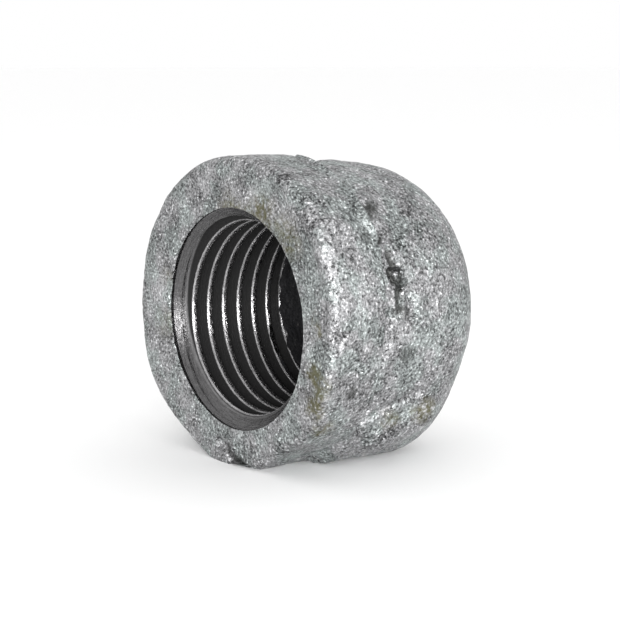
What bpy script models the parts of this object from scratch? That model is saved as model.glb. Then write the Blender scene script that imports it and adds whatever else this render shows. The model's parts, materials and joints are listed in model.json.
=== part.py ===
"""Half-inch pipe cap in galvanised malleable iron, banded pattern, lying on its side.

Metres, +Z up. The thread's axis is level and runs along Y: the open mouth faces -Y and
the domed crown faces +Y. The casting is modelled round that axis, and is then set down
with its lowest side on z = 0 and the middle of its box on the origin.
"""
import math

import bmesh
import bpy

MM = 0.001

# Casting, measured from the mouth's plane and from the thread's axis
LENGTH = 23.1 * MM          # mouth to the top of the crown
BAND_WIDTH = 6.4 * MM       # the thick rim, 0.249 in nominal
BAND_RADIUS = 14.8 * MM
BODY_RADIUS = 13.4 * MM
STEP_WIDTH = 1.0 * MM       # slope from the band down to the body
EDGE_ROUND = 0.9 * MM      # rounding of the front edge
SHOULDER = 13.3 * MM        # where the body starts to dome
DOME_ALONG = 2.14           # exponents of the crown's outline, 2 and 2 is an ellipse
DOME_ACROSS = 2.28
LUG_FADE = 4.0              # exponent: how late the lugs die out over the crown
REST_HEIGHT = 14.36 * MM    # axis above the worn flats that the cap lies on

# Lugs of the rough casting: angle from +X towards +Z, spread, height on band, on body
LUGS = (
    (45.0, 24.5, 1.7 * MM, 1.0 * MM),
    (127.5, 27.5, 1.2 * MM, 1.3 * MM),
    (207.0, 38.5, 2.2 * MM, 2.0 * MM),
    (235.0, 18.0, -0.9 * MM, 1.6 * MM),
    (295.0, 13.0, -1.0 * MM, 1.6 * MM),
)

# Thread, 1/2-14 NPT
PITCH = 25.4 * MM / 14
TAPER = 1 / 32              # radius lost for each unit of depth
CREST_RADIUS = 9.4 * MM     # at the mouth's plane
CREST_FLAT = 0.25           # shares of the pitch, wide because the core hole is wide
ROOT_FLAT = 0.06
FLANK_ANGLE = 30            # degrees
FIRST_CREST = 1.07 * MM     # depth of a crest's middle on the +X side
THREAD_END = 12.6 * MM      # depth where the last turn has run out
THREAD_FADE = 1.8 * MM      # over which it runs out

# Mouth and cored hollow
SINK_RADIUS = 10.7 * MM     # countersink at the mouth's plane, 45 degrees
CORE_RADIUS = 9.2 * MM
CORE_START = 11.8 * MM      # depth where the hollow is as wide as it gets
CORE_STRAIGHT = 13.8 * MM   # depth where it starts to dome
CORE_DEPTH = 19.4 * MM
OVERSHOOT = 2.0 * MM        # how far the cutters stand out of the mouth
PLUG_RADIUS = 8.7 * MM      # of the hollow's cutter where it passes inside the thread

SEGMENTS = 72               # round the casting
BORE_SEGMENTS = 48          # round the thread and the hollow


def lug_height(angle, on_band, on_body):
    """Height of all the lugs together at an angle, for a section's shares of each kind."""
    total = 0.0
    for centre, spread, band_height, body_height in LUGS:
        away = math.remainder(angle - math.radians(centre), math.tau)
        swell = math.exp(-0.5 * (away / math.radians(spread)) ** 2)
        total += (on_band * band_height + on_body * body_height) * swell
    return total


def casting_sections():
    """Sections from mouth to crown: depth, radius, share of band lugs, share of body lugs."""
    sections = []
    round_steps = 3
    for i in range(round_steps + 1):
        turn = math.pi / 2 * i / round_steps
        sections.append((EDGE_ROUND * (1 - math.cos(turn)),
                         BAND_RADIUS - EDGE_ROUND * (1 - math.sin(turn)), 1.0, 0.0))
    back = BAND_WIDTH - STEP_WIDTH / 2
    sections.append((back / 2, BAND_RADIUS, 1.0, 0.0))
    slope_steps = 3
    for i in range(slope_steps + 1):
        share = i / slope_steps
        radius = BAND_RADIUS + (BODY_RADIUS - BAND_RADIUS) * share
        sections.append((back + STEP_WIDTH * share, radius, 1 - share, share))
    sections.append(((BAND_WIDTH + SHOULDER) / 2, BODY_RADIUS, 0.0, 1.0))
    dome_steps = 9
    for i in range(dome_steps):
        rise = math.sin(math.pi / 2 * i / dome_steps)
        radius = BODY_RADIUS * (1 - rise ** DOME_ALONG) ** (1 / DOME_ACROSS)
        sections.append((SHOULDER + (LENGTH - SHOULDER) * rise, radius,
                         0.0, 1 - rise ** LUG_FADE))
    return sections


def loft_casting():
    """The solid casting: unlike, lobed sections joined from the mouth's disc to the crown."""
    bm = bmesh.new()
    rings = []
    for depth, radius, on_band, on_body in casting_sections():
        ring = []
        for i in range(SEGMENTS):
            angle = math.tau * i / SEGMENTS
            out = radius + lug_height(angle, on_band, on_body)
            height = max(out * math.sin(angle), -REST_HEIGHT)
            ring.append(bm.verts.new((out * math.cos(angle), depth, height)))
        rings.append(ring)
    crown = bm.verts.new((0.0, LENGTH, 0.0))
    bm.faces.new(rings[0])
    for near, far in zip(rings, rings[1:]):
        for i in range(SEGMENTS):
            j = (i + 1) % SEGMENTS
            bm.faces.new((near[i], near[j], far[j], far[i]))
    for i in range(SEGMENTS):
        bm.faces.new((rings[-1][i], rings[-1][(i + 1) % SEGMENTS], crown))
    bmesh.ops.recalc_face_normals(bm, faces=bm.faces)
    return mesh_from(bm, "cap_body")


def thread_cutter():
    """The tapped hole: one tooth swept up the helix, tapered, run out, and closed flat."""
    bm = bmesh.new()
    flank = (1 - CREST_FLAT - ROOT_FLAT) / 2
    root_radius = CREST_RADIUS + flank * PITCH / math.tan(math.radians(FLANK_ANGLE))
    tooth = ((0.0, CREST_RADIUS), (CREST_FLAT, CREST_RADIUS), (CREST_FLAT + flank, root_radius),
             (1 - flank, root_radius), (1.0, CREST_RADIUS))
    turns_outside = math.ceil((OVERSHOOT + FIRST_CREST) / PITCH) + 1
    start = FIRST_CREST - (turns_outside + CREST_FLAT / 2) * PITCH
    verts = [bm.verts.new((radius, start + PITCH * along, 0.0)) for along, radius in tooth]
    edges = [bm.edges.new(pair) for pair in zip(verts, verts[1:])]
    turns = math.ceil((THREAD_END - start) / PITCH) + 1
    bmesh.ops.spin(bm, geom=verts + edges, cent=(0, 0, 0), axis=(0, 1, 0),
                   dvec=(0, PITCH / BORE_SEGMENTS, 0), angle=math.tau * turns,
                   steps=BORE_SEGMENTS * turns)
    bmesh.ops.remove_doubles(bm, verts=bm.verts, dist=0.001 * MM)
    for vert in bm.verts:
        depth = vert.co.y
        out = math.hypot(vert.co.x, vert.co.z)
        left = min(1.0, max(0.0, (THREAD_END - depth) / THREAD_FADE))
        wanted = CREST_RADIUS - TAPER * depth + (out - CREST_RADIUS) * left
        vert.co.x *= wanted / out
        vert.co.z *= wanted / out
    for depth, side in ((-OVERSHOOT, -1), (THREAD_END, 1)):
        bmesh.ops.bisect_plane(bm, geom=bm.verts[:] + bm.edges[:] + bm.faces[:],
                               dist=0.0001 * MM, plane_co=(0, depth, 0),
                               plane_no=(0, side, 0), clear_outer=True)
        rim = [edge for edge in bm.edges if edge.is_boundary
               and all(abs(vert.co.y - depth) < 0.01 * MM for vert in edge.verts)]
        bmesh.ops.contextual_create(bm, geom=rim)
    bmesh.ops.recalc_face_normals(bm, faces=bm.faces)
    return mesh_from(bm, "cut_thread")


def hollow_cutter():
    """Countersink and cored hollow as one turned plug, profile at +X from crown to mouth."""
    profile = []
    dome_steps = 6
    for i in range(dome_steps + 1):
        turn = math.pi / 2 * (1 - i / dome_steps)
        profile.append((CORE_RADIUS * math.cos(turn),
                        CORE_STRAIGHT + (CORE_DEPTH - CORE_STRAIGHT) * math.sin(turn)))
    profile += [(CORE_RADIUS, CORE_START), (PLUG_RADIUS, CORE_START - CORE_RADIUS + PLUG_RADIUS),
                (PLUG_RADIUS, SINK_RADIUS - PLUG_RADIUS), (SINK_RADIUS + OVERSHOOT, -OVERSHOOT),
                (0.0, -OVERSHOOT)]
    mesh = bpy.data.meshes.new("cut_hollow")
    points = [(out, depth, 0.0) for out, depth in profile]
    mesh.from_pydata(points, [(i, i + 1) for i in range(len(points) - 1)], [])
    cutter = bpy.data.objects.new("cut_hollow", mesh)
    cutter.rotation_euler.y = math.pi / BORE_SEGMENTS    # its facets straddle the thread's
    turned = cutter.modifiers.new("turned", "SCREW")
    turned.axis = "Y"
    turned.steps = turned.render_steps = BORE_SEGMENTS
    turned.use_merge_vertices = True
    turned.merge_threshold = 0.00001
    return cutter


def mesh_from(bm, name):
    """A new object that holds the bmesh."""
    mesh = bpy.data.meshes.new(name)
    bm.to_mesh(mesh)
    bm.free()
    return bpy.data.objects.new(name, mesh)


def zinc_on_iron():
    """Dull hot-dip zinc over malleable iron."""
    material = bpy.data.materials.new("galvanised_iron")
    material.use_nodes = True
    shader = material.node_tree.nodes["Principled BSDF"]
    shader.inputs["Base Color"].default_value = (0.33, 0.34, 0.33, 1.0)
    shader.inputs["Metallic"].default_value = 0.85
    shader.inputs["Roughness"].default_value = 0.5
    return material


def set_down(body):
    """Puts the lowest side on z = 0 and the middle of the box over the origin."""
    xs, ys, zs = zip(*(vert.co for vert in body.data.vertices))
    shift = (-(min(xs) + max(xs)) / 2, -(min(ys) + max(ys)) / 2, -min(zs))
    body.location = shift
    return shift


for old in list(bpy.data.objects):
    bpy.data.objects.remove(old)

parts = bpy.data.collections.new("pipe_cap")
cutters = bpy.data.collections.new("cutters")
bpy.context.scene.collection.children.link(parts)
bpy.context.scene.collection.children.link(cutters)

cap_body = loft_casting()
parts.objects.link(cap_body)
place = set_down(cap_body)
cap_body.data.materials.append(zinc_on_iron())

for tool in (thread_cutter(), hollow_cutter()):
    cutters.objects.link(tool)
    tool.location = place
    tool.hide_render = True
    tool.display_type = "WIRE"
    cut = cap_body.modifiers.new(tool.name, "BOOLEAN")
    cut.operation = "DIFFERENCE"
    cut.object = tool

# The cuts are applied, so that their new edges can be marked sharp
scene_state = bpy.context.evaluated_depsgraph_get()
cut_mesh = bpy.data.meshes.new_from_object(cap_body.evaluated_get(scene_state))
cap_body.modifiers.clear()
cap_body.data = cut_mesh
cap_body.data.shade_smooth()
cap_body.data.set_sharp_from_angle(angle=math.radians(25))
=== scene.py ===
import json
import math

import bmesh
import bpy
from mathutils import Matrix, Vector

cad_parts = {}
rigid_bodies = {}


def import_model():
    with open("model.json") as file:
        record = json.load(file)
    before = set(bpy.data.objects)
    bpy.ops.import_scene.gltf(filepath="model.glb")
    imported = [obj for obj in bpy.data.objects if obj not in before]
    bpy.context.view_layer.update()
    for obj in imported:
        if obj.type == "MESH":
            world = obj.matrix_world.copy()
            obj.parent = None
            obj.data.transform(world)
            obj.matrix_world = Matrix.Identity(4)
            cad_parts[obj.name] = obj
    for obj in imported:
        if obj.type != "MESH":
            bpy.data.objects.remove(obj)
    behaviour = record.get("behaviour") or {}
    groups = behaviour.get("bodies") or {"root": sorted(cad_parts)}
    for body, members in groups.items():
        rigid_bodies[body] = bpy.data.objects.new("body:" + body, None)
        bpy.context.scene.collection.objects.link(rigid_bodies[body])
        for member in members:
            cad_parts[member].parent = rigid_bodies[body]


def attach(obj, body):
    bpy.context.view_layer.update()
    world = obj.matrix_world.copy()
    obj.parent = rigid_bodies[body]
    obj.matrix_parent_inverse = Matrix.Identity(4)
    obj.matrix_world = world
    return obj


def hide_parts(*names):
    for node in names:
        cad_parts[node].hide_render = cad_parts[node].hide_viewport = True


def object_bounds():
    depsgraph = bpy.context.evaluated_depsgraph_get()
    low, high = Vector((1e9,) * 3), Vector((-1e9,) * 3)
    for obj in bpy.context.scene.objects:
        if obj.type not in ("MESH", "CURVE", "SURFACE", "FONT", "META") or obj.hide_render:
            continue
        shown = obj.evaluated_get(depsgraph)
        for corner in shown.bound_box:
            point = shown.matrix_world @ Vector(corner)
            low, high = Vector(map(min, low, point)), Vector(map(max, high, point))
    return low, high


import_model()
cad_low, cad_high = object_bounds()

# ---------------------------------------------------------------------------
# Raw casting: a half-inch pipe cap in malleable iron, poured in green sand.
# It is a plain domed cup with a thick band, and the two halves of the mould
# left it uneven, with lugs round the band and down the body.
MM = 0.001
LENGTH = 23.1 * MM
BAND_WIDTH = 6.4 * MM
BAND_RADIUS = 14.8 * MM
BODY_RADIUS = 13.4 * MM
STEP_WIDTH = 1.0 * MM
EDGE_ROUND = 0.9 * MM
SHOULDER = 13.3 * MM
DOME_ALONG = 2.14
DOME_ACROSS = 2.28
AXIS_HEIGHT = 14.36 * MM
AXIS_ASIDE = 0.765 * MM
LOFT_SIDES = 96

VOXEL = 0.235 * MM
BEVEL_STEPS = 4
CROWN_TIP = 0.03        # share of the body's radius that the last ring keeps
MATCH = 0.01 * MM       # how near a plane a face or edge has to be to lie in it

# angle from +X towards +Z in degrees, reach in mm, height on the band and on the body in mm
LUGS = (
    (45, 14.8, 1.7, 1.0),
    (127.5, 16.5, 1.2, 1.3),
    (207, 22.5, 2.2, 2.0),
    (235, 10.8, -0.9, 1.6),
    (295, 7.9, -1.0, 1.6),
)

mouth = Vector((AXIS_ASIDE, cad_low.y, cad_low.z + AXIS_HEIGHT))


def at(angle, depth, radius):
    """The point at an angle round the thread's axis, a depth from the mouth and a radius."""
    turn = math.radians(angle)
    return mouth + Vector((radius * math.cos(turn), depth, radius * math.sin(turn)))


def start_piece(name):
    """Names the primitive just added and opens it for editing, with nothing selected."""
    piece = bpy.context.object
    piece.name = piece.data.name = name
    bpy.ops.object.mode_set(mode="EDIT")
    bpy.ops.mesh.select_all(action="DESELECT")
    return piece


def pick(piece, kind, test):
    """Selects the vertices, edges or faces whose middle passes the test, and no others."""
    modes = {"verts": "VERT", "edges": "EDGE", "faces": "FACE"}
    bpy.ops.mesh.select_mode(type=modes[kind])
    bpy.ops.mesh.select_all(action="DESELECT")
    mesh = bmesh.from_edit_mesh(piece.data)
    for item in getattr(mesh, kind):
        if kind == "verts":
            middle = item.co
        elif kind == "edges":
            middle = (item.verts[0].co + item.verts[1].co) / 2
        else:
            middle = item.calc_center_median()
        if test(piece.matrix_world @ middle):
            item.select_set(True)
    mesh.select_flush_mode()
    bmesh.update_edit_mesh(piece.data)


def finish_edit():
    """Leaves edit mode."""
    bpy.ops.object.mode_set(mode="OBJECT")


def take(piece):
    """Makes the piece the one object that is selected and active."""
    bpy.ops.object.select_all(action="DESELECT")
    piece.select_set(True)
    bpy.context.view_layer.objects.active = piece


def settle(piece):
    """Moves the object's place into its mesh, so that the object sits at the origin."""
    take(piece)
    bpy.ops.object.transform_apply(location=True, rotation=True, scale=True)


def apply_all(piece):
    """Applies the piece's modifiers, first to last."""
    take(piece)
    for name in [modifier.name for modifier in piece.modifiers]:
        bpy.ops.object.modifier_apply(modifier=name)


bpy.ops.object.select_all(action="DESELECT")
bpy.ops.mesh.primitive_cylinder_add(
    vertices=LOFT_SIDES, radius=BAND_RADIUS, depth=BAND_WIDTH - STEP_WIDTH / 2,
    location=mouth + Vector((0, (BAND_WIDTH - STEP_WIDTH / 2) / 2, 0)),
    rotation=(math.radians(90), 0, 0))
casting = start_piece("cap_casting")
finish_edit()
settle(casting)
bpy.ops.object.mode_set(mode="EDIT")

# step down from the band, straight body, then the dome ring by ring
rings = [(BAND_WIDTH + STEP_WIDTH / 2, BODY_RADIUS), (SHOULDER * 0.65, BODY_RADIUS),
         (SHOULDER, BODY_RADIUS)]
DOME_RINGS = 12
for i in range(1, DOME_RINGS):
    rise = math.sin(math.pi / 2 * i / DOME_RINGS)
    rings.append((SHOULDER + (LENGTH - SHOULDER) * rise,
                  BODY_RADIUS * (1 - rise ** DOME_ALONG) ** (1 / DOME_ACROSS)))
rings.append((LENGTH, BODY_RADIUS * CROWN_TIP))
depth_now, radius_now = BAND_WIDTH - STEP_WIDTH / 2, BAND_RADIUS
pick(casting, "faces", lambda p: abs(p.y - mouth.y - depth_now) < MATCH)
for depth, radius in rings:
    bpy.ops.mesh.extrude_region_move(
        TRANSFORM_OT_translate={"value": (0, depth - depth_now, 0)})
    bpy.ops.transform.resize(value=(radius / radius_now, 1, radius / radius_now),
                             center_override=mouth + Vector((0, depth, 0)))
    depth_now, radius_now = depth, radius

# rounded front edge
pick(casting, "edges", lambda p: abs(p.y - mouth.y) < MATCH
     and math.hypot(p.x - mouth.x, p.z - mouth.z) > BAND_RADIUS * 0.9)
bpy.ops.mesh.bevel(offset=EDGE_ROUND, segments=BEVEL_STEPS, affect="EDGES")



def along_spoke(point, angle, within):
    """Whether a point's direction from the axis is within so many degrees of an angle."""
    turn = math.radians(angle)
    outward = Vector((point.x - mouth.x, 0, point.z - mouth.z))
    spoke = Vector((math.cos(turn), 0, math.sin(turn)))
    return outward.length > 10 * MATCH and outward.angle(spoke) < math.radians(within)


# lugs, pushed out from the axis with a soft edge, first on the band and then on the body
nearly_half_side = 1.01 * 180 / LOFT_SIDES
for is_band in (True, False):
    bpy.ops.mesh.reveal(select=False)
    pick(casting, "verts", lambda p: (p.y - mouth.y < BAND_WIDTH) != is_band)
    bpy.ops.mesh.hide(unselected=False)
    for angle, reach, on_band, on_body in LUGS:
        height = (on_band if is_band else on_body) * MM
        swell = 1 + height / (BAND_RADIUS if is_band else BODY_RADIUS)
        pick(casting, "verts", lambda p: along_spoke(p, angle, nearly_half_side))
        bpy.ops.transform.resize(value=(swell, 1, swell), center_override=mouth,
                                 use_proportional_edit=True, proportional_edit_falloff="SMOOTH",
                                 proportional_size=reach * MM)
bpy.ops.mesh.reveal(select=False)
finish_edit()

# the mesh is made even and fine enough to carry the sand's texture
remesh = casting.modifiers.new("even", "REMESH")
remesh.mode = "VOXEL"
remesh.voxel_size = VOXEL
for name, scale, height in (("swell", 7.0, 0.26), ("ripple", 2.4, 0.13), ("sand", 0.8, 0.09)):
    texture = bpy.data.textures.new(name, "CLOUDS")
    texture.noise_scale = scale * MM
    texture.noise_depth = 2
    relief = casting.modifiers.new(name, "DISPLACE")
    relief.texture = texture
    relief.texture_coords = "LOCAL"
    relief.strength = height * MM
    relief.mid_level = 0.5
apply_all(casting)

# worn flat where it has lain on the bench
bpy.ops.object.mode_set(mode="EDIT")
pick(casting, "verts", lambda p: p.z < cad_low.z)
bpy.ops.transform.resize(value=(1, 1, 0), center_override=(0, 0, cad_low.z))
finish_edit()

# ---------------------------------------------------------------------------
# Core hole: the sand core leaves a rough round hole with a dished end. It is
# as cast, so it is never quite round, and it is too wide for the last turn of
# the thread, which stays ragged there.
CORE_RADIUS = 9.05 * MM
CORE_START = 10.3 * MM
CORE_STRAIGHT = 13.8 * MM
CORE_DEPTH = 19.4 * MM
CORE_LIP = 0.4 * MM         # slope up to the core's full radius
CORE_RING = 0.75 * MM       # spacing of the rings along its straight part
PLUG_RADIUS = 8.5 * MM
OVERSHOOT = 2 * MM
CORE_SIDES = 160
BORE_SIDES = 192


def draw_line(name, points):
    """An open line of edges through the points."""
    bpy.ops.mesh.primitive_plane_add(size=MM, location=points[0])
    piece = start_piece(name)
    bpy.ops.mesh.select_all(action="SELECT")
    bpy.ops.mesh.merge(type="CENTER")
    for here, there in zip(points, points[1:]):
        bpy.ops.mesh.extrude_vertices_move(TRANSFORM_OT_translate={"value": there - here})
    finish_edit()
    bpy.context.scene.cursor.location = mouth
    bpy.ops.object.origin_set(type="ORIGIN_CURSOR")
    return piece


def turn_round(piece, sides):
    """Turns the line round the thread's axis and closes it into a solid."""
    turned = piece.modifiers.new("turned", "SCREW")
    turned.axis = "Y"
    turned.steps = turned.render_steps = sides
    turned.use_merge_vertices = True
    turned.merge_threshold = 0.001 * MM
    apply_all(piece)
    settle(piece)
    face_out(piece)


def face_out(piece):
    """Merges the piece's doubles and turns its faces outwards."""
    take(piece)
    bpy.ops.object.mode_set(mode="EDIT")
    bpy.ops.mesh.select_all(action="SELECT")
    bpy.ops.mesh.remove_doubles(threshold=0.001 * MM)
    bpy.ops.mesh.normals_make_consistent(inside=False)
    finish_edit()


def cut(piece, cutter, operation="DIFFERENCE"):
    """Cuts or joins the piece with a closed cutter, whose material the new faces take."""
    boolean = piece.modifiers.new(cutter.name, "BOOLEAN")
    boolean.operation = operation
    boolean.object = cutter
    boolean.material_mode = "TRANSFER"
    apply_all(piece)
    bpy.data.objects.remove(cutter)


outline = [at(0, -OVERSHOOT, 0), at(0, -OVERSHOOT, PLUG_RADIUS), at(0, CORE_START, PLUG_RADIUS)]
for i in range(5):
    outline.append(at(0, CORE_START + CORE_LIP + i * CORE_RING, CORE_RADIUS))
DISH_STEPS = 14
for i in range(DISH_STEPS + 1):
    turn = math.pi / 2 * i / DISH_STEPS
    outline.append(at(0, CORE_STRAIGHT + (CORE_DEPTH - CORE_STRAIGHT) * math.sin(turn),
                      CORE_RADIUS * math.cos(turn)))
core = draw_line("core", outline)
turn_round(core, CORE_SIDES)
rough = bpy.data.textures.new("core_sand", "CLOUDS")
rough.noise_scale = 1.3 * MM
relief = core.modifiers.new("rough", "DISPLACE")
relief.texture = rough
relief.texture_coords = "LOCAL"
relief.strength = 0.5 * MM
apply_all(core)

# ---------------------------------------------------------------------------
# Thread: 1/2-14 NPT, tapped into the core hole after galvanising. The hole is
# wide, so the tap leaves broad flat crests, and its chamfered end leaves the
# last turns shallow. A countersink at the mouth leads the pipe in.
PITCH = 25.4 * MM / 14
TAPER = 1 / 32
CREST_RADIUS = 9.4 * MM
CREST_FLAT = 0.25
FLANK_ANGLE = 30
FIRST_CREST = 1.07 * MM
THREAD_END = 12.8 * MM
CHAMFER_LENGTH = 2.2 * MM
ROOT_ROUND = 0.13 * MM
SINK_RADIUS = 10.7 * MM
RIM_DEPTH = 0.3 * MM
SINK_DEPTH = RIM_DEPTH + SINK_RADIUS - PLUG_RADIUS

ROOT_RADIUS = CREST_RADIUS + (1 - CREST_FLAT) / 2 * PITCH / math.tan(math.radians(FLANK_ANGLE))
turns_outside = math.ceil((OVERSHOOT + FIRST_CREST) / PITCH) + 1
start = FIRST_CREST - turns_outside * PITCH
tooth = ((0, CREST_RADIUS), (CREST_FLAT / 2, CREST_RADIUS), (0.5, ROOT_RADIUS),
         (1 - CREST_FLAT / 2, CREST_RADIUS), (1, CREST_RADIUS))
thread = draw_line("thread", [at(0, start + PITCH * along, radius) for along, radius in tooth])
bpy.ops.object.mode_set(mode="EDIT")
pick(thread, "verts", lambda p: start + MATCH < p.y - mouth.y < start + PITCH - MATCH)
bpy.ops.mesh.bevel(offset=ROOT_ROUND, segments=3, affect="VERTICES")
finish_edit()
winding = thread.modifiers.new("winding", "SCREW")
winding.axis = "Y"
winding.steps = winding.render_steps = BORE_SIDES
winding.screw_offset = PITCH
winding.iterations = math.ceil((THREAD_END - start) / PITCH) + 1
apply_all(thread)
taper = thread.modifiers.new("taper", "SIMPLE_DEFORM")
taper.deform_method = "TAPER"
taper.deform_axis = "Y"
span = max(v.co.y for v in thread.data.vertices) - min(v.co.y for v in thread.data.vertices)
taper.factor = -TAPER * span / CREST_RADIUS
apply_all(thread)
settle(thread)
bpy.ops.object.mode_set(mode="EDIT")
bpy.ops.mesh.select_all(action="SELECT")
bpy.ops.mesh.remove_doubles(threshold=0.001 * MM)
for depth, side in ((-OVERSHOOT, -1), (THREAD_END, 1)):
    bpy.ops.mesh.select_all(action="SELECT")
    bpy.ops.mesh.bisect(plane_co=at(0, depth, 0), plane_no=(0, side, 0), use_fill=True,
                        clear_outer=True, threshold=0.0001 * MM)
finish_edit()
face_out(thread)

# the tap's chamfer, as the envelope that its teeth stay inside
taken_off = TAPER * THREAD_END
last = THREAD_END - 0.02 * MM
chamfer = draw_line("tap_envelope", [
    at(0, -OVERSHOOT - MM, 0), at(0, -OVERSHOOT - MM, ROOT_RADIUS + MM),
    at(0, THREAD_END - CHAMFER_LENGTH, ROOT_RADIUS - taken_off + 0.2 * MM),
    at(0, last, CREST_RADIUS - taken_off - 0.1 * MM), at(0, last, 0)])
turn_round(chamfer, BORE_SIDES)
cut(thread, chamfer, "INTERSECT")

sink = draw_line("countersink", [
    at(0, -OVERSHOOT, 0), at(0, -OVERSHOOT, SINK_RADIUS), at(0, RIM_DEPTH, SINK_RADIUS),
    at(0, SINK_DEPTH, PLUG_RADIUS), at(0, SINK_DEPTH, 0)])
turn_round(sink, BORE_SIDES)

# ---------------------------------------------------------------------------
# Zinc coat: the casting is dipped in molten zinc, which freezes as a dull grey
# skin with grains and pits. Its colour has painted glints among the grains and
# painted shade in the pits. It has olive stains on the rim, and painted shade
# darkening its deepest marks.


class Shade:
    """One socket of a material's nodes. Arithmetic on it adds Math nodes beside it."""

    def __init__(self, socket):
        self.socket = socket

    def node(self, kind, settings=None, inputs=None, output=0):
        """Adds a node, its settings first and then its inputs, and gives one of its outputs."""
        tree = self.socket.id_data
        node = tree.nodes.new("ShaderNode" + kind)
        for name, value in (settings or {}).items():
            setattr(node, name, value)
        for name, value in (inputs or {}).items():
            if isinstance(value, Shade):
                tree.links.new(value.socket, node.inputs[name])
            else:
                node.inputs[name].default_value = value
        return Shade(node.outputs[output])

    def maths(self, operation, *values):
        """A Math node on up to three values or sockets."""
        return self.node("Math", {"operation": operation}, dict(enumerate(values)))

    def __add__(self, other):
        return self.maths("ADD", self, other)

    __radd__ = __add__

    def __sub__(self, other):
        return self.maths("SUBTRACT", self, other)

    def __rsub__(self, other):
        return self.maths("SUBTRACT", other, self)

    def __mul__(self, other):
        return self.maths("MULTIPLY", self, other)

    __rmul__ = __mul__


def new_finish(name, metallic, roughness):
    """A material, its shader, and Object coordinates in mm from the middle of the mouth."""
    material = bpy.data.materials.new(name)
    material.use_nodes = True
    shader = material.node_tree.nodes["Principled BSDF"]
    shader.inputs["Metallic"].default_value = metallic
    shader.inputs["Roughness"].default_value = roughness
    source = Shade(material.node_tree.nodes.new("ShaderNodeTexCoord").outputs["Object"])
    place = source.node("Mapping", None, {"Vector": source, "Location": -mouth / MM,
                                          "Scale": (1 / MM, 1 / MM, 1 / MM)})
    return material, shader, place


def grain(place, size, detail=2.0, roughness=0.5, output=0):
    """Noise with features about size mm across, from 0 to 1 round a half."""
    return place.node("TexNoise", {"noise_dimensions": "3D"},
                      {"Vector": place, "Scale": 1 / size, "Detail": detail,
                       "Roughness": roughness}, output)


def between(value, low, high):
    """0 below low, 1 above high, and a soft step between; low may be above high."""
    return value.node("MapRange", {"interpolation_type": "SMOOTHSTEP"},
                      {"Value": value, "From Min": low, "From Max": high})


def blend(factor, under, over):
    """One colour mixed over another."""
    return factor.node("Mix", {"data_type": "RGBA"}, {0: factor, 6: under, 7: over}, 2)


def scaled(place, colour, tone):
    """A colour, plain or from a socket, made lighter or darker by a value."""
    return place.node("VectorMath", {"operation": "SCALE"}, {0: colour, "Scale": tone})


def spots(place, places, stronger, wider, inset=0.0):
    """Soft round patches, each an angle, a depth, a radius and a size in mm, and a strength."""
    total = 0.0
    for angle, depth, radius, size, strength in places:
        turn = math.radians(angle)
        out = radius - inset
        where = (out * math.cos(turn), depth, out * math.sin(turn))
        away = place.node("VectorMath", {"operation": "DISTANCE"}, {0: place, 1: where}, "Value")
        total = total + stronger * strength * between(away, wider * size, 0.35 * wider * size)
    return total


def use(shader, name, value):
    """Links a value to one of the shader's sockets."""
    value.socket.id_data.links.new(value.socket, shader.inputs[name])


def use_relief(shader, place, height, depth):
    """Raises the surface's normals by a height map, whose 1 stands for a depth in mm."""
    use(shader, "Normal", place.node("Bump", None, {"Height": height * depth * MM,
                                                    "Distance": 1.0, "Strength": 1.0}))


STAINS = (
    (81, 0, 10.6, 1.6, 1.0), (90, 0, 11.5, 1.8, 0.7), (67, 0, 11.7, 2.4, 0.6),
    (64, 0, 13.1, 1.8, 0.5), (48, 0, 13.1, 2.0, 0.6), (50, 0, 9.9, 1.2, 0.9),
    (40, 0, 13.3, 1.6, 0.4), (9, 0, 13.4, 1.1, 0.8), (4, 0, 13.6, 0.9, 0.9),
    (-11, 0, 13.2, 1.4, 0.9), (-15, 0.1, 14.4, 1.5, 0.9), (-24, 0.1, 14.3, 1.6, 1.0),
    (-33, 2.3, 14.7, 1.3, 0.7), (-35, 15.2, 13.9, 1.6, 0.9), (-38, 11.5, 13.9, 1.3, 0.6),
    (160, 0, 11.0, 1.5, 0.4), (185, 0, 11.0, 2.0, 0.4), (205, 6, 15.6, 2.6, 0.5),
    (140, 10, 14.6, 2.0, 0.5))
# painted shade: dark spots set on the crack, the crease, the hollows and the cold shut
CREVICE_SHADE = (
    (29, 8.6, 14, 0.55, 0.7), (25, 8.8, 14, 0.55, 0.8), (20.5, 8.9, 13.8, 0.8, 1.0),
    (19, 9.0, 13.6, 0.8, 1.0), (15, 8.9, 14, 0.5, 0.7), (12, 8.9, 14, 0.55, 0.7),
    (8, 9.0, 14, 0.55, 0.7), (34.5, 7.6, 14.4, 0.7, 0.8), (37, 7.8, 14.4, 0.6, 0.6),
    (47, 8.4, 14.4, 0.9, 0.6), (50, 9.2, 14.4, 0.7, 0.5), (-11.6, 10.3, 13.6, 0.9, 0.5),
    (-21, 3.1, 14.8, 0.7, 0.5), (-95, 0, 13.2, 0.6, 0.9), (-91, 0, 14, 0.6, 0.9),
    (-87, 0, 14.1, 0.5, 0.8), (6, 9.8, 13.9, 0.6, 0.5), (33, 5.0, 16.2, 0.6, 0.5))
PALE_ZINC, BLUE_ZINC = (0.98, 0.98, 1.0, 1), (0.93, 1.0, 0.99, 1)
OLIVE, SHADE_BLACK = (0.095, 0.088, 0.03, 1), (0.03, 0.031, 0.028, 1)

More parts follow.
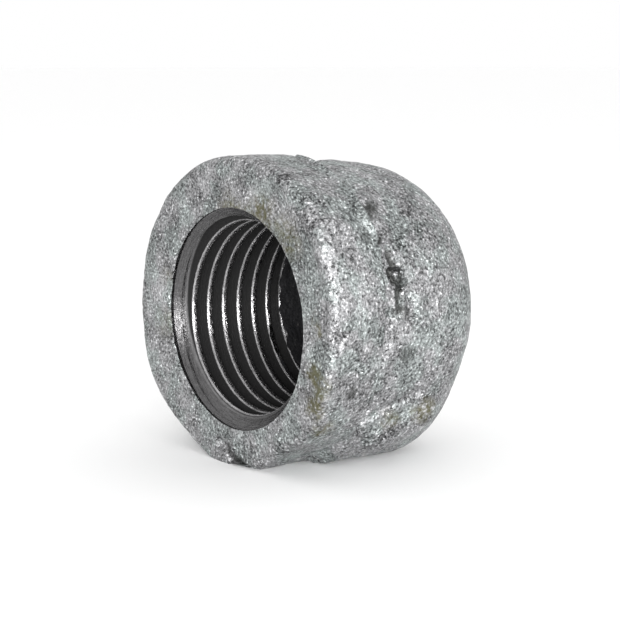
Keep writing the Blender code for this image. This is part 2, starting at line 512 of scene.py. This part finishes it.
zinc, shader, place = new_finish("galvanised_iron", 0.75, 0.5)
warp = grain(place, 1.2, 3.0, 0.6, "Color")
warped = place.node("VectorMath", {"operation": "MULTIPLY_ADD"},
                    {0: warp, 1: (1.6, 1.6, 1.6), 2: place})
broad = grain(warped, 4.5, 2.0)
patches = grain(warped, 1.5, 3.0, 0.6)
flecks = grain(place, 0.26, 2.0, 0.6)
fine = grain(place, 0.12, 1.0)
# painted glint: bright specks painted into the zinc's colour as painted highlights
painted_glint = between(flecks, 0.60, 0.74)
pits = between(grain(place, 0.45, 1.0), 0.36, 0.27)
# zinc tone: random mottling, lightened by the painted glints and darkened by painted shade in the
# pits
tone = (0.26 + 0.26 * (broad - 0.5) + 0.55 * (patches - 0.5) + 1.0 * (flecks - 0.5)
        + 0.4 * (fine - 0.5) + 0.45 * painted_glint) * (1 - 0.6 * pits)
tone = tone.maths("MAXIMUM", tone, 0.03)
cool = between(grain(warped, 2.6, 2.0), 0.42, 0.62)
grey = scaled(place, blend(cool, PALE_ZINC, BLUE_ZINC), tone)
stains = spots(warped, STAINS, 1.2, 1.25) * between(grain(place, 0.7, 3.0, 0.7), 0.32, 0.62)
stains = stains.maths("MINIMUM", stains, 1.0)
# painted shade, blended towards near-black in the deepest marks
crevice_shade = spots(place, CREVICE_SHADE, 1.3, 1.55, 0.25)
crevice_shade = crevice_shade.maths("MINIMUM", crevice_shade, 1.0)
use(shader, "Base Color", blend(crevice_shade * 0.85, blend(stains * 0.78, grey, OLIVE), SHADE_BLACK))
use(shader, "Roughness", 0.5 + 0.35 * (patches - 0.5) - 0.16 * painted_glint + 0.2 * stains)
use_relief(shader, place, grain(place, 0.3, 2.0, 0.6) * 0.6 + grain(place, 0.8, 2.0) * 0.8
           - 0.5 * pits, 0.26)

# ---------------------------------------------------------------------------
# Cut iron: the bare metal where the tap and the countersink went through the
# zinc. It is bright on the crests and the countersink, with the tools' marks
# running round it, and painted near-black down in the grooves as a painted dark
# reflection.
cut_iron, shader, place = new_finish("tapped_iron", 1.0, 0.27)
# the weak specular only acts on the non-metal grooves, keeping their painted dark reflection dark
shader.inputs["Specular IOR Level"].default_value = 0.15
across, depth, up = (place.node("SeparateXYZ", None, {0: place}, axis) for axis in "XYZ")
squares = across * across + up * up
radius = squares.maths("SQRT", squares)
turn = up.maths("ARCTAN2", up, across)
tool_marks = grain(place.node("CombineXYZ", None, {0: depth, 1: radius, 2: turn * 0.9}),
                   0.085, 2.0, 0.6)
torn = grain(place, 0.22, 2.0, 0.6)
in_thread = between(depth, 1.25, 1.5)
over_crest = radius - (CREST_RADIUS / MM - TAPER * depth)
# painted dark reflection: the thread's flanks and roots are made near-black, dull and not metal
shaded_groove = between(over_crest + 0.12 * (torn - 0.5), 0.07, 0.17) * in_thread
bare = (0.13 + 0.33 * in_thread) * (1 + 1.2 * (tool_marks - 0.5) + 0.7 * (torn - 0.5))
use(shader, "Base Color", scaled(place, (1.0, 0.985, 1.0), bare * (1 - shaded_groove) + 0.012 * shaded_groove))
use(shader, "Metallic", 1 - shaded_groove)
use(shader, "Roughness", 0.27 + 0.3 * shaded_groove + 0.25 * (torn - 0.5))
use_relief(shader, place, tool_marks + 0.4 * torn, 0.06)

# ---------------------------------------------------------------------------
# Core hollow: the inside of the cap, painted near-black as painted shade because it
# lies deep in shadow, with a few pale grains of sand burnt into it.
DARK_CORE_SHADE, PALE_CORE_SHADE = (0.006, 0.006, 0.008, 1), (0.018, 0.018, 0.02, 1)
BURNT_SAND = (0.14, 0.13, 0.12, 1)
core_shade, shader, place = new_finish("core_shade", 0.0, 0.75)
sand = between(grain(place, 0.35, 3.0, 0.7), 0.62, 0.72)
# painted shade: the hollow's colour varies only between two near-blacks
core_shade_tone = blend(grain(place, 1.5, 3.0), DARK_CORE_SHADE, PALE_CORE_SHADE)
use(shader, "Base Color", blend(sand * 0.5, core_shade_tone, BURNT_SAND))
use_relief(shader, place, grain(place, 0.5, 3.0, 0.6), 0.3)

# ---------------------------------------------------------------------------
# Machining: the countersink, the thread and the cored hollow are taken out of
# the casting, and each gives the faces it bares its own material: cut iron for
# the first two, and painted shade for the hollow.
for piece, finish in ((casting, zinc), (thread, cut_iron), (sink, cut_iron), (core, core_shade)):
    piece.data.materials.clear()
    piece.data.materials.append(finish)
for cutter in (sink, thread, core):
    cut(casting, cutter)

# ---------------------------------------------------------------------------
# Marks of the foundry and of the zinc bath: dross lumps, the fin left where the
# halves of the mould met, shrinkage cracks, pits and runs. They are all part of
# the casting's own skin, and go on last because the cuts need a clean one.


def press(piece, height, reach, points, falloff="SMOOTH", finer=0):
    """Raises the skin along a line through the points, or sinks it if height is negative.
    Where finer is given, the skin there is first cut into smaller faces."""
    steps_of_line = []
    for here, there in zip(points, points[1:] + points[-1:]):
        steps = max(1, math.ceil((there - here).length / (0.4 * VOXEL)))
        for i in range(steps):
            steps_of_line.append(here.lerp(there, i / steps))
    found = {piece.closest_point_on_mesh(point)[3] for point in steps_of_line}
    take(piece)
    bpy.ops.object.mode_set(mode="EDIT")
    bpy.ops.mesh.select_mode(type="FACE")
    bpy.ops.mesh.select_all(action="DESELECT")
    mesh = bmesh.from_edit_mesh(piece.data)
    mesh.faces.ensure_lookup_table()
    for index in found:
        mesh.faces[index].select_set(True)
    bmesh.update_edit_mesh(piece.data)
    if finer:
        for ring in range(math.ceil(reach * MM / VOXEL)):
            bpy.ops.mesh.select_more()
        bpy.ops.mesh.subdivide(number_cuts=finer)
        finish_edit()
        return press(piece, height, reach, points, falloff)
    bpy.ops.transform.shrink_fatten(value=height * MM, use_proportional_edit=True,
                                    proportional_edit_falloff=falloff,
                                    proportional_size=reach * MM)
    finish_edit()


def trail(*places):
    """Points on the casting's skin, each given as an angle and a depth and radius in mm."""
    return [at(angle, depth * MM, radius * MM) for angle, depth, radius in places]


# zinc drained to the front edge of the band and froze there as a bead
press(casting, 0.28, 0.8, trail((69, 0.3, 15.6), (58, 0.1, 15.1), (46, 0, 14.8), (35, 0, 15.3),
                                (22, 0, 15.1), (10, 0, 14.9), (-1, 0.1, 14.6),
                                (-14, 0.1, 14.5), (-26, 0, 14.1)))
# fin at the back of the band, and the hollow behind it
press(casting, 0.24, 0.45, trail((80, 5.6, 15.4), (64, 5.5, 16), (54, 5.2, 16.3), (46, 5.5, 16.4),
                                 (38, 5.6, 16.4), (32, 6.1, 16.1)), "SHARP", 1)
press(casting, -0.45, 1.1, trail((60, 7.3, 15), (52, 7.4, 15), (44, 7.6, 15), (36, 7.7, 14.7)))
press(casting, 0.32, 2.6, trail((91, 11.5, 14.4), (78, 10.6, 14.4)))
# dross
DROSS_HEIGHT = 0.75
OVER_SKIN = 15.5    # a radius in mm that is above the skin, which the nearest face is found from
for angle, depth, height, reach in (
        (49, 1.3, 0.30, 1.0), (46, 2.2, 0.35, 0.9), (51, 4.0, 0.25, 1.2), (44, 3.4, -0.35, 0.7),
        (40, 4.5, -0.40, 0.8), (37, 2.8, 0.45, 0.9), (38, 1.6, 0.40, 0.7), (41, 0.8, -0.30, 0.8),
        (55, 9.2, 0.50, 0.9), (51, 8.6, 0.35, 0.9), (35, 4.9, -0.35, 0.8), (33, 6.8, 0.35, 0.6),
        (30, 7.7, 0.35, 0.7), (28, 5.6, 0.30, 0.5), (33, 11.0, 0.25, 0.9), (10, 1.1, 0.25, 1.3),
        (140, 3.0, 0.30, 1.2), (163, 9.0, 0.35, 1.1), (186, 4.2, -0.30, 0.9),
        (222, 11.5, 0.40, 1.5), (128, 13.0, -0.35, 1.3), (104, 8.5, 0.35, 1.0)):
    press(casting, DROSS_HEIGHT * height, reach, trail((angle, depth, OVER_SKIN)))
# shrinkage crack down the side, with a pit where a sand grain fell out
press(casting, -0.50, 0.5, trail((30, 8.5, 14.4), (25, 8.8, 14.3), (20, 8.9, 14.2)), "ROOT", 1)
press(casting, -1.00, 0.75, trail((21, 8.8, 14.2), (19, 9.1, 14.2)), "SPHERE", 1)
press(casting, -0.40, 0.45, trail((19, 8.9, 14.2), (14, 8.9, 14.1), (5, 9.0, 13.9)), "ROOT", 1)
press(casting, -0.35, 0.9, trail((12, 10.0, 13.9), (6, 10.1, 13.9)), "ROOT")
# crease where the band meets the body
press(casting, -0.30, 0.7, trail((6, 7.8, 13.6), (-8, 7.4, 13.6), (-15, 6.8, 13.7),
                                 (-25, 6.9, 13.7), (-41, 7.2, 13.8)))
# lip of zinc on the front edge
press(casting, -0.25, 0.4, trail((2, 0.2, 14.8), (-3, 0.5, 14.9), (1, 1.2, 15.2)), "SHARP", 1)
# foot of the lower rear lug
press(casting, 0.55, 2.6, trail((-52, 10.5, 14.4), (-48, 13.5, 14), (-42, 15.2, 13.8)))
press(casting, -0.35, 0.6, trail((-43, 7.4, 13.8), (-38, 9.1, 13.7), (-34, 11, 13.7),
                                 (-30, 13.2, 13.8)))
# cold shut at the bottom of the mouth, with zinc beads beside it
press(casting, -0.40, 0.45, trail((-102, 0, 12.7), (-96, 0, 13.1), (-92, 0, 14), (-85, 0.1, 14.3),
                                  (-80, 0.5, 14.5)), "ROOT", 1)
for angle, radius, height, reach in ((-87, 11.5, 0.45, 0.5), (-91, 12.5, 0.4, 0.45),
                                     (-57, 12.4, 0.3, 1.0), (-70, 13.7, -0.4, 0.8),
                                     (128, 12.7, -0.15, 0.6), (60, 12.0, 0.15, 1.8)):
    press(casting, height, reach, trail((angle, 0, radius)))
# pinholes
for angle, depth in ((-45.6, 7.6), (-48.3, 10.2), (-36.4, 10), (-37, 7.7), (68.2, 11.9),
                     (62.8, 13.4), (-9.6, 2.9), (-12.2, 3.5), (-11, 2.8), (172, 7.2),
                     (150, 15), (210, 8.3), (118, 4.4), (231, 14.2)):
    press(casting, -0.45, 0.3, trail((angle, depth, 15)), "ROOT", 1)

# the rim's burr, thrown up round the countersink by the cutter
for first, last, radius, height in ((110, 150, 10.95, 0.12), (150, 176, 10.95, 0.2),
                                    (178, 214, 10.95, 0.25), (214, 246, 11.0, 0.16)):
    arc = [(first + (last - first) * i / 10, 0, radius) for i in range(11)]
    press(casting, height, 0.35, trail(*arc), "SHARP", 1)

take(casting)
SHARP_EDGE = math.radians(40)
bpy.ops.object.shade_smooth_by_angle(angle=SHARP_EDGE)
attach(casting, "root")
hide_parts("cap_body")

# ---------------------------------------------------------------------------
# Studio: a pale floor, a white surround, a soft key beside the camera at the
# height of the cap, and a weak fill from the right.
FLOOR_SIZE = 60
FLOOR_WHITE = (0.99, 0.99, 0.99, 1)
bpy.ops.object.select_all(action="DESELECT")
bpy.ops.mesh.primitive_plane_add(size=FLOOR_SIZE, location=(0, 0, cad_low.z))
floor = bpy.context.object
floor.name = floor.data.name = "studio_floor"
floor_paint = bpy.data.materials.new("studio_white")
floor_paint.use_nodes = True
paint = floor_paint.node_tree.nodes["Principled BSDF"]
paint.inputs["Base Color"].default_value = FLOOR_WHITE
paint.inputs["Roughness"].default_value = 0.9
floor.data.materials.append(floor_paint)

surround = bpy.data.worlds.new("studio_surround")
surround.use_nodes = True
backdrop = surround.node_tree.nodes["Background"]
backdrop.inputs["Color"].default_value = (1, 1, 1, 1)
backdrop.inputs["Strength"].default_value = 1.0
bpy.context.scene.world = surround
bpy.context.scene.view_settings.view_transform = "Standard"

AIM = mouth + Vector((4.44, 5.75, 0.91)) * MM


def seen_from(azimuth, elevation, distance):
    """A place round the aim point: azimuth from -Y towards +X, and elevation, in degrees."""
    turn, rise = math.radians(azimuth), math.radians(elevation)
    return AIM + distance * Vector((math.sin(turn) * math.cos(rise),
                                    -math.cos(turn) * math.cos(rise), math.sin(rise)))


def face_aim(thing):
    """Turns a light or the camera towards the aim point."""
    thing.rotation_euler = (AIM - thing.location).to_track_quat("-Z", "Y").to_euler()


# azimuth, elevation, distance, width, height and power of each light
for name, azimuth, elevation, distance, width, height, power in (
        ("key", 56, 4, 0.5, 0.20, 0.16, 3.2), ("fill", 105, 12, 0.7, 0.4, 0.4, 0.8)):
    bpy.ops.object.light_add(type="AREA", location=seen_from(azimuth, elevation, distance))
    light = bpy.context.object
    light.name = light.data.name = name
    light.data.shape = "RECTANGLE"
    light.data.size, light.data.size_y = width, height
    light.data.energy = power
    face_aim(light)

CAMERA_AZIMUTH, CAMERA_ELEVATION, CAMERA_DISTANCE = 51.2, 8.8, 150.4 * MM
bpy.ops.object.camera_add(location=seen_from(CAMERA_AZIMUTH, CAMERA_ELEVATION, CAMERA_DISTANCE))
camera = bpy.context.object
camera.data.sensor_width = 36
camera.data.lens = 91.5
camera.data.clip_start = 0.01
face_aim(camera)
bpy.context.scene.camera = camera
